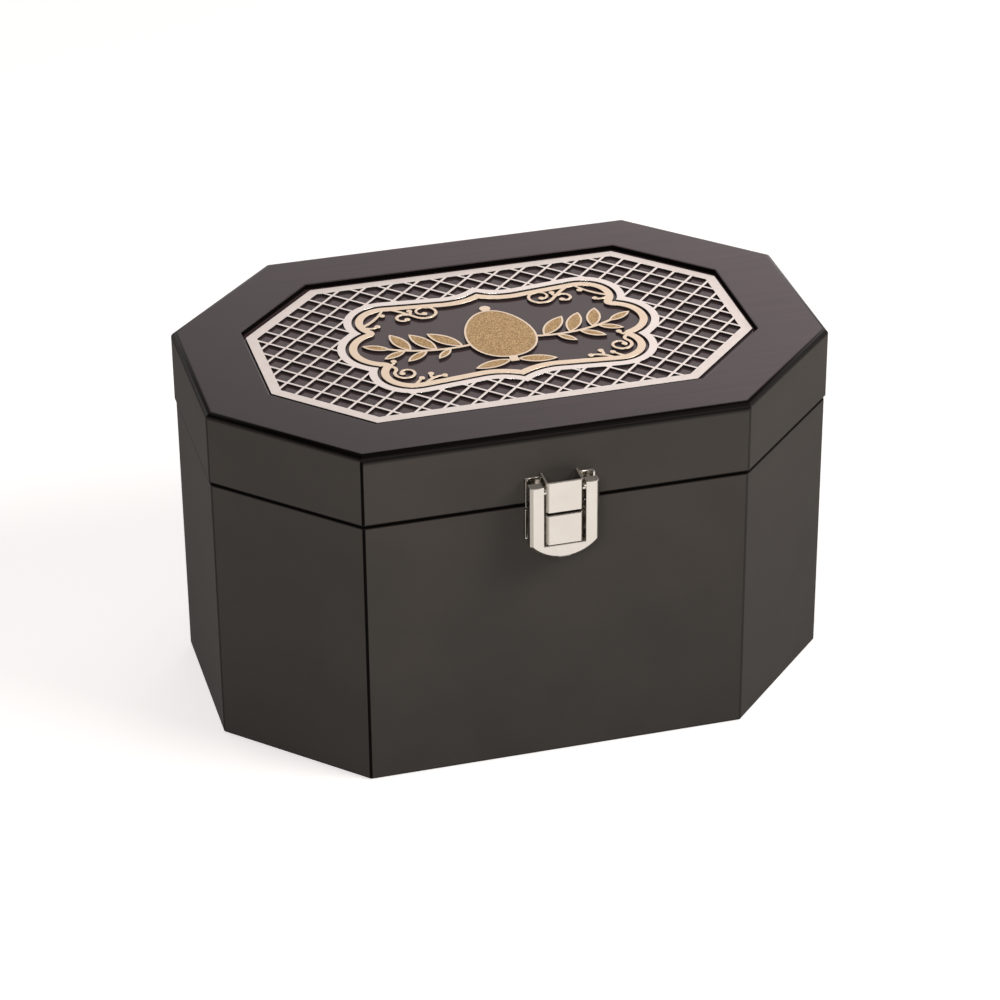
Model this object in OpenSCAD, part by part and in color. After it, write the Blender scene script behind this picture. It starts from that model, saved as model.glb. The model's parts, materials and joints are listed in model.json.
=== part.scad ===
// Octagonal etrog box: a painted wooden case with a hinged lid, a padded nest for the fruit,
// a pierced trellis and cartouche let into the lid, and a flip-up hasp on the front.
// Millimetres. +X runs along the width, +Y to the back, +Z up. The origin is at the middle of the foot.

/* [Case] */
// Width of the lid across its two ends
box_w = 179; // [165:1:200]
// Depth of the lid from front to back
box_d = 120; // [112:1:140]
// Height of the closed box
box_h = 104; // [98:1:120]
// Length that each corner face takes off the two sides beside it
corner_cut = 35; // [30:0.5:40]
// Thickness of the side boards
board_t = 8; // [7:0.5:10]
// Radius of the upright edges between two boards
upright_round = 1.5; // [0.5:0.1:3]
// Radius of the edges at the seam and round the foot
edge_round = 0.8; // [0.4:0.1:1.5]
// Thickness of the floor panel
floor_t = 5; // [3:0.5:8]
// Width of the rebate that holds the floor panel
rebate_w = 3; // [2:0.5:4]
// Play between the floor panel and the side of its rebate
rebate_play = 0.2; // [0.1:0.05:0.4]

/* [Lid] */
// Height of the lid
lid_h = 22; // [20:0.5:28]
// Gap between the lid and the case when shut
seam_gap = 0.3; // [0.1:0.1:0.6]
// How far the lid stands out past the case on each side
lid_overhang = 0.4; // [0:0.1:1]
// Thickness of the lid's top board
top_board_t = 9; // [8:0.5:12]
// Radius of the lid's top edge
top_round = 2; // [1:0.25:4]
// Width of the rim at the two ends of the recess
rim_end = 19.1; // [15:0.1:22]
// Width of the rim in front of and behind the recess
rim_side = 16.9; // [15:0.1:19]
// Length that each corner takes off the recess
recess_cut = 24; // [20:0.5:28]
// Depth of the recess
recess_depth = 1.7; // [1.4:0.1:3]
// Radius of the recess's upper edge
recess_round = 0.4; // [0.2:0.1:0.8]

/* [Ornament] */
// Thickness of the pierced plates
ornament_t = 0.7; // [0.6:0.1:1.2]
// Gap between the trellis plate and the recess at its two ends
plate_end_gap = 0.9; // [0.5:0.1:2]
// Gap between the trellis plate and the recess in front of and behind it
plate_side_gap = 2; // [0.5:0.1:2.5]
// Width of the trellis plate's outer border
border_w = 3; // [2:0.25:5]
// Width of a trellis bar
bar_w = 0.75; // [0.5:0.05:1.2]
// Distance from one crossing of the trellis to the next along a row
trellis_pitch = 8; // [7:0.5:11]
// Width of the trellis plate's inner band
band_w = 2.3; // [1.5:0.1:3]
// Gap between the inner band and the gold frame
band_gap = 1; // [0.5:0.1:2]
// Width of the gold frame
frame_w = 2.3; // [1.5:0.1:3]
// Distance of the side lobes' centres from the middle
side_lobe_x = 32.6; // [31:0.2:35]
// Radius of the side lobes
side_lobe_r = 10.75; // [9.75:0.25:12]
// Distance of the corner lobes' centres from the middle along X
corner_lobe_x = 29; // [27:0.25:30]
// Distance of the corner lobes' centres from the middle along Y
corner_lobe_y = 15.6; // [14.8:0.2:16.4]
// Radius of the corner lobes
corner_lobe_r = 9; // [8:0.25:10]
// Height of the frame's cusp above the middle
cusp_y = 25.5; // [24.5:0.25:27]
// Distance of the dip beside the cusp from the middle
dip_x = 9.4; // [8:0.2:11]
// Radius of that dip
dip_r = 16.5; // [15:0.5:19]
// Width of the scrolls in the frame's corners
scroll_w = 1.1; // [0.8:0.1:1.3]
// Width of the citron in the middle
citron_w = 20; // [17:0.2:22]
// Height of the citron in the middle
citron_h = 29; // [25:0.5:31]
// Width of the rim round the citron and each leaf
sprig_rim = 0.6; // [0.4:0.1:0.9]
// Thickness of the glitter inlay
inlay_t = 0.4; // [0.3:0.05:0.5]
// Play between the inlay and its pocket
inlay_play = 0.05; // [0.02:0.01:0.1]

/* [Lining] */
// Thickness of the covered card on the inside of the boards
lining_t = 1; // [0.6:0.1:2]
// Distance of the card's top edge below the rim of the case
lining_drop = 4; // [2:0.5:8]
// Height of the cushion
cushion_h = 50; // [42:1:54]
// Length of the nest for the fruit
nest_len = 96; // [85:1:104]
// Diameter of the nest for the fruit
nest_d = 68; // [58:1:72]
// Play round the cushion and the lid's pad
soft_play = 0.3; // [0.2:0.1:0.6]
// Thickness of the pad under the lid
pad_t = 4; // [3:0.5:5]

/* [Hinges] */
// Distance of each hinge from the end of the lid's back face
hinge_inset = 5.5; // [4:0.5:20]
// Length of a hinge
hinge_len = 22; // [20:1:26]
// Radius of the knuckles
knuckle_r = 1.8; // [1.6:0.1:2.2]
// Gap between the knuckles and the lid's back face
knuckle_stand = 0.2; // [0.1:0.05:0.5]
// Gap between two knuckles of a hinge
knuckle_gap = 0.2; // [0.1:0.05:0.4]
// Diameter of the hinge pins
hinge_pin_d = 1.6; // [1.2:0.1:1.8]
// Thickness of the hinge leaves
leaf_t = 0.8; // [0.6:0.1:1]
// Depth of the hinge leaves into the boards, from the lid's back face
leaf_w = 6.5; // [5.8:0.1:7]
// Play round a leaf in its housing
leaf_play = 0.1; // [0.05:0.05:0.3]
// Distance of a hinge screw from the hinge's middle
hinge_screw_x = 6.5; // [5:0.25:7.5]
// Distance of the hinge screws from the lid's back face
hinge_screw_in = 3.5; // [3:0.1:4]
// Length of the hinge screws
hinge_screw_len = 8; // [5:0.5:10]
// Angle at which the stop hinges hold the lid open
open_angle = 95; // [85:1:110]
// Length of the stop lugs along the hinge
stop_len = 1.2; // [0.8:0.1:2]
// Angle that a stop lug takes up
stop_angle = 60; // [40:1:70]
// Angle left free at each end of a lug's travel
stop_play = 3; // [2:0.5:5]

/* [Latch] */
// Width of the latch
latch_w = 19.6; // [18:0.2:24]
// Width of each leg of the lever
leg_w = 3.9; // [3.5:0.1:4.5]
// Distance of the lever's front from the lid's front face
latch_stand = 6.5; // [6:0.1:8]
// Thickness of the lever
lever_t = 3; // [2.4:0.1:3.2]
// Width of the bevel along the lever's sides and lip
lever_bevel = 0.8; // [0.2:0.1:1]
// Height of the lever's top above the seam
lever_up = 8.3; // [8:0.1:10]
// Distance of the lever's lip below the seam
lever_down = 14.5; // [13.8:0.1:18]
// Distance of the lever's window's lower edge below the seam
window_down = 10.2; // [9.6:0.1:11]
// Distance below the seam at which the lever's sides turn in
shoulder_down = 10; // [8:0.1:11]
// Height of the lever's pin above the seam
latch_pin_up = 6.3; // [6:0.1:6.8]
// Diameter of the lever's pin
latch_pin_d = 1.8; // [1.4:0.1:2]
// Wall left outside the pin in each leg
pin_wall = 1.8; // [1.2:0.1:2.2]
// Play between the raised blocks and the lever's legs
block_play = 0.55; // [0.3:0.05:0.8]
// Play between the lower block and the lever's bar
catch_play = 0.3; // [0.28:0.02:0.6]
// Height of the upper block's top above the seam
block_up = 9.4; // [8.8:0.1:10.5]
// Height of the lid plate's webs above the seam
web_up = 8.5; // [7.5:0.1:8.7]
// Distance between the upper and the lower block
block_gap = 1; // [0.6:0.1:1.4]
// Width of the bevel on the blocks' front edges
block_bevel = 0.8; // [0.2:0.1:1]
// Thickness of the sheet that the plates are pressed from
sheet_t = 0.7; // [0.5:0.1:0.9]
// Height of the lips at the sides of the plates
lip_h = 1.8; // [1.2:0.1:2]
// Height of the latch screws above or below the seam
latch_screw_z = 4; // [3:0.1:4.4]
// Length of the latch screws
latch_screw_len = 6; // [4:0.5:6.5]

/* [Fits] */
// Diameter of the screws
screw_d = 2; // [1.6:0.1:2]
// Diameter of the screws' heads
screw_head_d = 3.2; // [2.8:0.1:3.4]
// Height of the latch screws' heads
screw_head_h = 1; // [0.8:0.1:1.2]
// Play round a screw in its hole
screw_play = 0.05; // [0.02:0.01:0.1]
// Play round a pin in the bore that turns on it
pin_play = 0.05; // [0.03:0.01:0.09]
// Play round a pin in the bore that holds it
pin_seat = 0.02; // [0.01:0.01:0.05]

/* [Hidden] */
$fn = 48;

// Heights
seam = box_h - lid_h;
case_top = seam - seam_gap / 2;
lid_foot = seam + seam_gap / 2;
rail_top = box_h - top_board_t;
recess_floor = box_h - recess_depth;

// Faces of the lid, and how far the faces of the case and its hollow lie inside the lid's
lid_front = -box_d / 2;
lid_back = box_d / 2;
case_in = -lid_overhang;
hollow_in = case_in - board_t;

// Colours
paint = [0.27, 0.25, 0.24];
velvet = [0.36, 0.07, 0.12];
silver = [0.86, 0.83, 0.81];
gold = [0.9, 0.77, 0.58];
glitter = [0.7, 0.57, 0.36];
nickel = [0.8, 0.78, 0.75];

// Extra length of a cut past the face that it opens
past = 1;
// Steps along a rounded edge, and along a larger curve
edge_steps = 6;
curve_steps = 14;

// Plane geometry

function unit(a) = [cos(a), sin(a)];
function reversed(list) = [for (i = [len(list) - 1:-1:0]) list[i]];
function arc(centre, r, from, to, steps) =
    [for (i = [0:steps]) centre + r * unit(from + (to - from) * i / steps)];
// The same arc without its last point, where the next stretch begins
function open_arc(centre, r, from, to, steps) =
    [for (i = [0:steps - 1]) centre + r * unit(from + (to - from) * i / steps)];

// An octagon is [half width, half depth, corner cut]. Its side k faces 45 * k degrees from +X.
function side(size, k) =
    k % 4 == 0 ? size[0] : k % 4 == 2 ? size[1] : (size[0] + size[1] - size[2]) / sqrt(2);
// Corner between side k and the next, with every side moved out by grow
function corner(size, k, grow) =
    let (near = side(size, k) + grow)
    let (next = side(size, k + 1) + grow)
    near * unit(45 * k) + (next - near * cos(45)) / sin(45) * unit(45 * k + 90);
function octagon(size, grow) = [for (k = [0:7]) corner(size, k, grow)];
function round_octagon(size, r) =
    [for (k = [0:7]) each arc(corner(size, k, -r), r, 45 * k, 45 * k + 45, edge_steps)];

lid_size = [box_w / 2, box_d / 2, corner_cut];
recess_size = [box_w / 2 - rim_end, box_d / 2 - rim_side, recess_cut];
plate_size = [recess_size[0] - plate_end_gap, recess_size[1] - plate_side_gap, recess_cut];

// Boards of the case and the lid

// Outline of the board on side k from above, from one mitre to the other
function board_plan(k, grow) =
    let (r = upright_round)
    concat(
        arc(corner(lid_size, k + 7, grow - r), r, 45 * k - 22.5, 45 * k, edge_steps),
        arc(corner(lid_size, k, grow - r), r, 45 * k, 45 * k + 22.5, edge_steps),
        [corner(lid_size, k, grow - board_t), corner(lid_size, k + 7, grow - board_t)]
    );

// Runs a profile, drawn as distance from the middle against height, along side k
module along_side(k) {
    rotate([0, 0, 45 * k])
        rotate([90, 0, 0])
            linear_extrude(box_w + box_d, center = true)
                children();
}

// Prism that stands in the middle of the box
module upright(points, foot, height) {
    translate([0, 0, foot])
        linear_extrude(height)
            polygon(points);
}

module case_board(k) {
    face = side(lid_size, k) + case_in;
    back = face - board_t;
    r = edge_round;
    color(paint)
        intersection() {
            upright(board_plan(k, case_in), -past, box_h);
            along_side(k)
                polygon(concat(
                    [[back + rebate_w, 0]],
                    arc([face - r, r], r, -90, 0, edge_steps),
                    [[face + past, r], [face + past, case_top - r]],
                    arc([face - r, case_top - r], r, 0, 90, edge_steps),
                    [[back - past, case_top], [back - past, floor_t], [back + rebate_w, floor_t]]
                ));
        }
}

module lid_rail(k) {
    face = side(lid_size, k);
    back = face - board_t;
    r = edge_round;
    color(paint)
        intersection() {
            upright(board_plan(k, 0), 0, box_h + past);
            along_side(k)
                polygon(concat(
                    [[back - past, lid_foot]],
                    arc([face - r, lid_foot + r], r, -90, 0, edge_steps),
                    [[face + past, lid_foot + r], [face + past, rail_top], [back - past, rail_top]]
                ));
        }
}

module right_wall() { case_board(0); }
module back_right_wall() { case_board(1); }
module back_left_wall() { case_board(3); }
module left_wall() { case_board(4); }
module front_left_wall() { case_board(5); }
module front_right_wall() { case_board(7); }

module back_wall() {
    color(paint)
        difference() {
            case_board(2);
            leaf_housings(case_top - leaf_t, case_top + past);
            hinge_screw_places()
                translate([0, 0, case_top - hinge_screw_len - screw_room])
                    screw_hole(hinge_screw_len + screw_room);
        }
}

module front_wall() {
    color(paint)
        difference() {
            case_board(6);
            latch_screw_places(-latch_screw_z, lid_front - case_in)
                translate([0, 0, -latch_screw_len])
                    screw_hole(latch_screw_len);
        }
}

module floor_panel() {
    color(paint)
        upright(octagon(lid_size, hollow_in + rebate_w - rebate_play), 0, floor_t);
}

module lid_right_rail() { lid_rail(0); }
module lid_back_right_rail() { lid_rail(1); }
module lid_back_left_rail() { lid_rail(3); }
module lid_left_rail() { lid_rail(4); }
module lid_front_left_rail() { lid_rail(5); }
module lid_front_right_rail() { lid_rail(7); }

module lid_back_rail() {
    color(paint)
        difference() {
            lid_rail(2);
            leaf_housings(lid_foot - past, lid_foot + leaf_t);
            hinge_screw_places()
                translate([0, 0, lid_foot - past])
                    screw_hole(hinge_screw_len + screw_room);
        }
}

module lid_front_rail() {
    color(paint)
        difference() {
            lid_rail(6);
            latch_screw_places(latch_screw_z, lid_front)
                translate([0, 0, -latch_screw_len])
                    screw_hole(latch_screw_len);
        }
}

// Rounds the top edge over along side k and the side across from it
module top_profile(k) {
    half = side(lid_size, k);
    r = top_round;
    along_side(k)
        polygon(concat(
            [[-half - past, rail_top], [half + past, rail_top], [half + past, box_h - r]],
            arc([half - r, box_h - r], r, 0, 90, edge_steps),
            arc([r - half, box_h - r], r, 90, 180, edge_steps),
            [[-half - past, box_h - r]]
        ));
}

// Cut of the recess across side k, which opens out over the rounded upper edge
module recess_profile(k) {
    half = side(recess_size, k);
    r = recess_round;
    along_side(k)
        polygon(concat(
            [[-half, recess_floor], [half, recess_floor]],
            arc([half + r, box_h - r], r, 180, 90, edge_steps),
            [[half + r, box_h + past], [-half - r, box_h + past]],
            arc([-half - r, box_h - r], r, 90, 0, edge_steps)
        ));
}

module lid_top() {
    color(paint)
        difference() {
            intersection() {
                upright(round_octagon(lid_size, upright_round), 0, box_h + past);
                top_profile(0);
                top_profile(1);
                top_profile(2);
                top_profile(3);
            }
            intersection() {
                recess_profile(0);
                recess_profile(1);
                recess_profile(2);
                recess_profile(3);
            }
        }
}

// Soft fittings

module wall_lining() {
    color(velvet)
        difference() {
            upright(octagon(lid_size, hollow_in), floor_t, case_top - lining_drop - floor_t);
            upright(octagon(lid_size, hollow_in - lining_t), floor_t - past, box_h);
        }
}

// The nest is an egg that lies along X, fuller at the end of its stem
nest_fullness = 0.12;
function nest_point(t) = [nest_d / 2 * sin(t) * (1 + nest_fullness * cos(t)), nest_len / 2 * cos(t)];

module fruit_cushion() {
    color(velvet)
        difference() {
            upright(octagon(lid_size, hollow_in - lining_t - soft_play), floor_t, cushion_h);
            translate([0, 0, floor_t + cushion_h])
                rotate([0, 90, 0])
                    rotate_extrude()
                        polygon(concat(
                            [[0, nest_len / 2]],
                            [for (i = [1:curve_steps - 1]) nest_point(180 * i / curve_steps)],
                            [[0, -nest_len / 2]]
                        ));
        }
}

module lid_pad() {
    color(velvet)
        upright(octagon(lid_size, -board_t - soft_play), rail_top - pad_t, pad_t);
}

// Ornament in the recess

// Crossing, on the side of +X, of a circle with one that lies above it
function crossing(low, low_r, high, high_r) =
    let (d = norm(high - low))
    let (u = (high - low) / d)
    let (a = (d * d + low_r * low_r - high_r * high_r) / (2 * d))
    low + a * u + sqrt(low_r * low_r - a * a) * [u[1], -u[0]];
function bearing(from, to) = atan2(to[1] - from[1], to[0] - from[0]);

side_lobe = [side_lobe_x, 0];
corner_lobe = [corner_lobe_x, corner_lobe_y];
dip = [dip_x, cusp_y + sqrt(dip_r * dip_r - dip_x * dip_x)];
// Where the corner lobe runs over into the straight stretch that leads to the dip
lobe_end = bearing(corner_lobe, dip) - acos((corner_lobe_r + dip_r) / norm(dip - corner_lobe));

// A quarter of the cartouche, moved out by grow: a side lobe, a corner lobe with a notch between
// them, and a dip that rises to the cusp. Moved in, the notch turns round its own corner.
function cartouche_quarter(grow) =
    let (out = max(grow, 0))
    let (notch = crossing(side_lobe, side_lobe_r + out, corner_lobe, corner_lobe_r + out))
    let (leave = bearing(side_lobe, notch))
    let (enter = bearing(corner_lobe, notch))
    concat(
        open_arc(side_lobe, side_lobe_r + grow, 0, leave, curve_steps),
        grow < 0 ? open_arc(notch, grow, leave, enter, edge_steps) : [],
        arc(corner_lobe, corner_lobe_r + grow, enter, lobe_end, curve_steps),
        arc(dip, dip_r - grow, lobe_end + 180, 360 - acos(-dip_x / (dip_r - grow)), curve_steps)
    );

function cartouche(grow) =
    let (q = cartouche_quarter(grow))
    let (inner = [for (i = [len(q) - 2:-1:1]) q[i]])
    concat(
        q,
        [for (p = inner) [-p[0], p[1]]],
        [for (p = q) -p],
        [for (p = inner) [p[0], -p[1]]]
    );

// Square holes of the trellis, on their corners. Those behind the cartouche are left out.
module trellis_holes() {
    step = trellis_pitch / 2;
    columns = ceil(recess_size[0] / step);
    rows = ceil(recess_size[1] / step);
    hole = trellis_pitch / sqrt(2) - bar_w;
    for (i = [-columns:columns], j = [-rows:rows])
        if ((i + j) % 2 == 0 && (abs(i * step) > side_lobe_x || abs(j * step) > corner_lobe_y))
            translate([i * step, j * step])
                rotate(45)
                    square(hole, center = true);
}

module trellis_plate() {
    color(silver)
        translate([0, 0, recess_floor])
            linear_extrude(ornament_t)
                difference() {
                    polygon(octagon(plate_size, 0));
                    polygon(cartouche(band_gap));
                    intersection() {
                        difference() {
                            polygon(octagon(plate_size, -border_w));
                            polygon(cartouche(band_gap + band_w));
                        }
                        trellis_holes();
                    }
                }
}

// Scrollwork: ribbons that spring from the frame, taper and end in a bead

function bezier(a, b, c) =
    [for (i = [0:edge_steps])
        let (s = i / edge_steps)
        (1 - s) * (1 - s) * a + 2 * s * (1 - s) * b + s * s * c];
// Winds in slowly at first, then faster, with a point every scroll_step degrees
scroll_step = 16;
function spiral(centre, outer_r, inner_r, from, sweep) =
    let (steps = ceil(abs(sweep) / scroll_step))
    [for (i = [0:steps])
        let (s = i / steps)
        centre + (outer_r + (inner_r - outer_r) * s * s) * unit(from + sweep * s)];

module bead(centre) {
    translate(concat(centre, recess_floor))
        cylinder(r = 0.8 * scroll_w, h = ornament_t, $fn = 24);
}

module ribbon(path) {
    last = len(path) - 1;
    edges = [for (turn = [90, -90]) [for (i = [0:last])
        let (along = bearing(path[max(i - 1, 0)], path[min(i + 1, last)]))
        path[i] + scroll_w * (1 / 2 - i / last / 6) * unit(along + turn)]];
    upright(concat(edges[1], reversed(edges[0])), recess_floor, ornament_t);
    bead(path[last]);
}

// Place in a corner of the frame, counted in radii of the corner lobe from its centre
function in_corner(x, y) = corner_lobe + corner_lobe_r * [x, y];

// Upper corners: a large scroll hangs from the top stretch by its stem and meets the frame again above
large_centre = in_corner(-1.3, 0.34);
large_r = 0.42 * corner_lobe_r;
large_from = -37;
large_stem = bezier(in_corner(-0.22, 0.86), in_corner(-0.66, 0.5), large_centre + large_r * unit(large_from));
large_curl = spiral(large_centre, large_r, 0.11 * corner_lobe_r, large_from, -410);

module upper_scrolls() {
    ribbon(concat(large_stem, [for (i = [1:len(large_curl) - 1]) large_curl[i]]));
    // Hook below the stem, and spur above it
    ribbon(spiral(in_corner(-0.6, 0.08), 0.27 * corner_lobe_r, 0.12 * corner_lobe_r, 127, -255));
    ribbon(bezier(in_corner(-0.8, 0.28), in_corner(-0.92, 0.4), in_corner(-0.87, 0.52)));
    // Tendril across the corner, with a bud
    ribbon(bezier(in_corner(0.82, -0.14), in_corner(0.24, 0.21), in_corner(-0.07, 0.85)));
    bead(in_corner(0.04, 0.45));
    // Hook beside the notch
    ribbon(bezier(in_corner(0.82, -0.2), in_corner(0.5, -0.42), in_corner(0.35, -0.23)));
}

// Lower corners: a small scroll leaves the frame beside the notch and winds up inside the lobe
small_centre = in_corner(0.24, 0);
small_r = 0.34 * corner_lobe_r;
small_from = -40;
small_stem = bezier(in_corner(0.64, -0.58), in_corner(0.38, -0.4), small_centre + small_r * unit(small_from));
small_curl = spiral(small_centre, small_r, 0.11 * corner_lobe_r, small_from, 400);

// Drawn as if it were an upper corner
module lower_scrolls() {
    ribbon(concat(small_stem, [for (i = [1:len(small_curl) - 1]) small_curl[i]]));
    // Hook on the other side of the notch
    ribbon(bezier(in_corner(0.64, -0.62), in_corner(0.42, -0.62), in_corner(0.42, -0.84)));
    // Bud beside the scroll
    ribbon(bezier(in_corner(0.12, 0.8), in_corner(-0.02, 0.62), in_corner(-0.16, 0.44)));
    // Twig along the long stretch, with a leaf
    ribbon(bezier(in_corner(-0.2, 0.82), in_corner(-0.52, 0.4), in_corner(-0.88, 0.46)));
    ribbon(bezier(in_corner(-0.5, 0.53), in_corner(-0.42, 0.38), in_corner(-0.5, 0.24)));
}

module cartouche_frame() {
    color(gold) {
        difference() {
            upright(cartouche(0), recess_floor, ornament_t);
            upright(cartouche(-frame_w), recess_floor - past, ornament_t + 2 * past);
        }
        both_sides() {
            upper_scrolls();
            mirror([0, 1, 0])
                lower_scrolls();
        }
    }
}

// Sprig: a citron between two branches. Its outlines shrink by inset for the pockets and the inlay.

citron_taper = 0.14;
citron_steps = 3 * curve_steps;
function citron(inset) =
    [for (i = [0:citron_steps - 1])
        let (a = 360 * i / citron_steps)
        let (half = (citron_w / 2 - inset) * (1 - citron_taper * sin(a)))
        [half * cos(a), (citron_h / 2 - inset) * sin(a)]];

// A pointed leaf that runs along +X from the origin
leaf_slimness = 0.36;
leaf_steps = 9;
function leaf(length, inset) =
    let (width = leaf_slimness * length)
    let (r = (length * length + width * width) / (4 * width))
    let (off = r - width / 2)
    let (half = acos(off / (r - inset)))
    concat(
        open_arc([length / 2, -off], r - inset, 90 - half, 90 + half, leaf_steps),
        open_arc([length / 2, off], r - inset, 270 - half, 270 + half, leaf_steps)
    );

// The branch is an arc. Each leaf on it is [place on the arc, turn from the branch, share of leaf_len].
branch_x = 16;
branch_y = 30;
branch_r = 35;
branch_centre = [branch_x, branch_y];
branch_from = -108;
branch_to = -61;
branch_w = 1;
leaf_len = 13;
branch_leaves = [
    [-97, 58, 1], [-84.5, 58, 0.96], [-72.5, 54, 0.9],
    [-91, -46, 0.54], [-80, -46, 0.65], [-70, -46, 0.6],
    [-63, 2, 0.65]
];
// The fruit's tip above, and its stalk below with a leaf of its own
tip_r = 1.6;
stalk_w = 2.4;
stalk_h = 3;
stalk_leaf_turn = -13;
stalk_leaf_len = 11.5;
stalk_leaf_x = 0.7;
// Overlap of the tip and the stalk with the citron's rim
rim_lap = sprig_rim / 2;
stalk_foot = -citron_h / 2 - stalk_h + rim_lap;
// Floor of the pockets that hold the inlay
pocket_floor = recess_floor + ornament_t - inlay_t;

module both_sides() {
    for (m = [0, 1])
        mirror([m, 0, 0])
            children();
}

module leaves(inset, foot, height) {
    both_sides() {
        for (one = branch_leaves)
            translate(concat(branch_centre + branch_r * unit(one[0]), 0))
                rotate([0, 0, one[0] + 90 + one[1]])
                    upright(leaf(one[2] * leaf_len, inset), foot, height);
        translate([stalk_leaf_x, stalk_foot + stalk_w / 2, 0])
            rotate([0, 0, stalk_leaf_turn])
                upright(leaf(stalk_leaf_len, inset), foot, height);
    }
}

module branches() {
    half = branch_w / 2;
    both_sides()
        upright(concat(
            arc(branch_centre, branch_r - half, branch_from, branch_to, curve_steps),
            arc(branch_centre, branch_r + half, branch_to, branch_from, curve_steps)
        ), recess_floor, ornament_t);
}

module tip_and_stalk() {
    translate([0, citron_h / 2 + tip_r - rim_lap, recess_floor])
        cylinder(r = tip_r, h = ornament_t);
    translate([-stalk_w / 2, stalk_foot, recess_floor])
        cube([stalk_w, stalk_h, ornament_t]);
}

module sprig_frame() {
    color(gold)
        difference() {
            union() {
                upright(citron(0), recess_floor, ornament_t);
                tip_and_stalk();
                branches();
                leaves(0, recess_floor, ornament_t);
            }
            upright(citron(sprig_rim), pocket_floor, inlay_t + past);
            leaves(sprig_rim, pocket_floor, inlay_t + past);
        }
}

module sprig_inlay() {
    color(glitter) {
        upright(citron(sprig_rim + inlay_play), pocket_floor, inlay_t);
        leaves(sprig_rim + inlay_play, pocket_floor, inlay_t);
    }
}

// Screws

screw_r = screw_d / 2;
head_r = screw_head_d / 2;
slot_w = 0.5;
slot_depth = 0.4;
// Room left past the tip of a hinge screw
screw_room = 0.5;

module screw_hole(depth) {
    cylinder(r = screw_r + screw_play, h = depth + past);
}

// A slotted screw that points down, turned from its half profile
module screw(profile, head_top) {
    difference() {
        rotate_extrude()
            polygon(profile);
        translate([-screw_head_d, -slot_w / 2, head_top - slot_depth])
            cube([2 * screw_head_d, slot_w, slot_depth + past]);
    }
}

// Countersunk, with the top of its head at the origin
module hinge_screw() {
    tip = -hinge_screw_len;
    screw([[0, tip], [screw_r, tip + screw_r], [screw_r, -leaf_t], [head_r, 0], [0, 0]], 0);
}

// Round-headed, with the foot of its head at the origin
module latch_screw() {
    tip = -latch_screw_len;
    screw(concat(
        [[0, tip], [screw_r, tip + screw_r], [screw_r, 0], [head_r, 0]],
        [[head_r * 0.9, screw_head_h * 0.6], [head_r * 0.6, screw_head_h], [0, screw_head_h]]
    ), screw_head_h);
}

// Stop hinges

hinge_x = box_w / 2 - corner_cut - hinge_inset - hinge_len / 2;
hinge_axis_y = lid_back + knuckle_stand + knuckle_r;
hinge_pin_r = hinge_pin_d / 2;
lid_knuckle = hinge_len / 3;
case_knuckle = (hinge_len - lid_knuckle) / 2 - knuckle_gap;
// Where a stop lug starts when the lid is shut, in degrees from the back round over the top
lug_from = 85;
lug_reach = lid_knuckle / 2 + knuckle_gap + stop_len;

// Turns a hinge drawn round the Z axis, with its leaves towards -X, into its place at x
module at_hinge(x) {
    translate([x, hinge_axis_y, seam])
        rotate([90, 0, 90])
            children();
}

module two_screw_places(x) {
    for (s = [-1, 1])
        translate([x + s * hinge_screw_x, lid_back - hinge_screw_in, 0])
            children();
}

module hinge_screw_places() {
    for (s = [-1, 1])
        two_screw_places(s * hinge_x)
            children();
}

module leaf_housings(low, high) {
    for (s = [-1, 1])
        translate([s * hinge_x - hinge_len / 2 - leaf_play, lid_back - leaf_w - leaf_play, low])
            cube([hinge_len + 2 * leaf_play, leaf_w + leaf_play + past, high - low]);
}

// Flat stretch of a leaf from one distance to another in front of the pin,
// over the seam for the lid's leaf and under it for the case's
module leaf_strip(over, from, to, length) {
    translate([-from, over ? seam_gap / 2 : -seam_gap / 2 - leaf_t, -length / 2])
        cube([from - to, leaf_t, length]);
}

module leaf_plate(over) {
    reach = knuckle_r + knuckle_stand;
    leaf_strip(over, reach + leaf_w, reach, hinge_len);
}

// A knuckle with the neck that joins it to its leaf
module knuckle(over, length) {
    cylinder(r = knuckle_r, h = length, center = true);
    leaf_strip(over, knuckle_r + knuckle_stand + leaf_t, (knuckle_r + hinge_pin_r) / 2, length);
}

module sector(from, to, length) {
    linear_extrude(length, center = true)
        polygon(concat([[0, 0]], arc([0, 0], 2 * knuckle_r, from, to, edge_steps)));
}

// Tapered hole for a screw's head that lies flush with the leaf, seen from the leaf's face
module countersink() {
    mouth = head_r + screw_play;
    hole = screw_r + screw_play;
    rotate_extrude()
        polygon([
            [0, past], [mouth, past], [mouth, 0],
            [hole, -leaf_t], [hole, -leaf_t - past], [0, -leaf_t - past]
        ]);
}

module case_leaf(x) {
    color(nickel)
        difference() {
            at_hinge(x)
                difference() {
                    union() {
                        leaf_plate(false);
                        for (s = [-1, 1])
                            translate([0, 0, s * (hinge_len - case_knuckle) / 2])
                                knuckle(false, case_knuckle);
                    }
                    cylinder(r = hinge_pin_r + pin_seat, h = hinge_len + past, center = true);
                    sector(
                        lug_from - open_angle - stop_play, lug_from + stop_angle + stop_play,
                        2 * (lug_reach + knuckle_gap)
                    );
                }
            two_screw_places(x)
                translate([0, 0, case_top])
                    countersink();
        }
}

module lid_leaf(x) {
    color(nickel)
        difference() {
            at_hinge(x)
                difference() {
                    union() {
                        leaf_plate(true);
                        knuckle(true, lid_knuckle);
                        intersection() {
                            cylinder(r = knuckle_r, h = 2 * lug_reach, center = true);
                            sector(lug_from, lug_from + stop_angle, hinge_len);
                        }
                    }
                    cylinder(r = hinge_pin_r + pin_play, h = hinge_len + past, center = true);
                }
            two_screw_places(x)
                translate([0, 0, lid_foot])
                    mirror([0, 0, 1])
                        countersink();
        }
}

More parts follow.
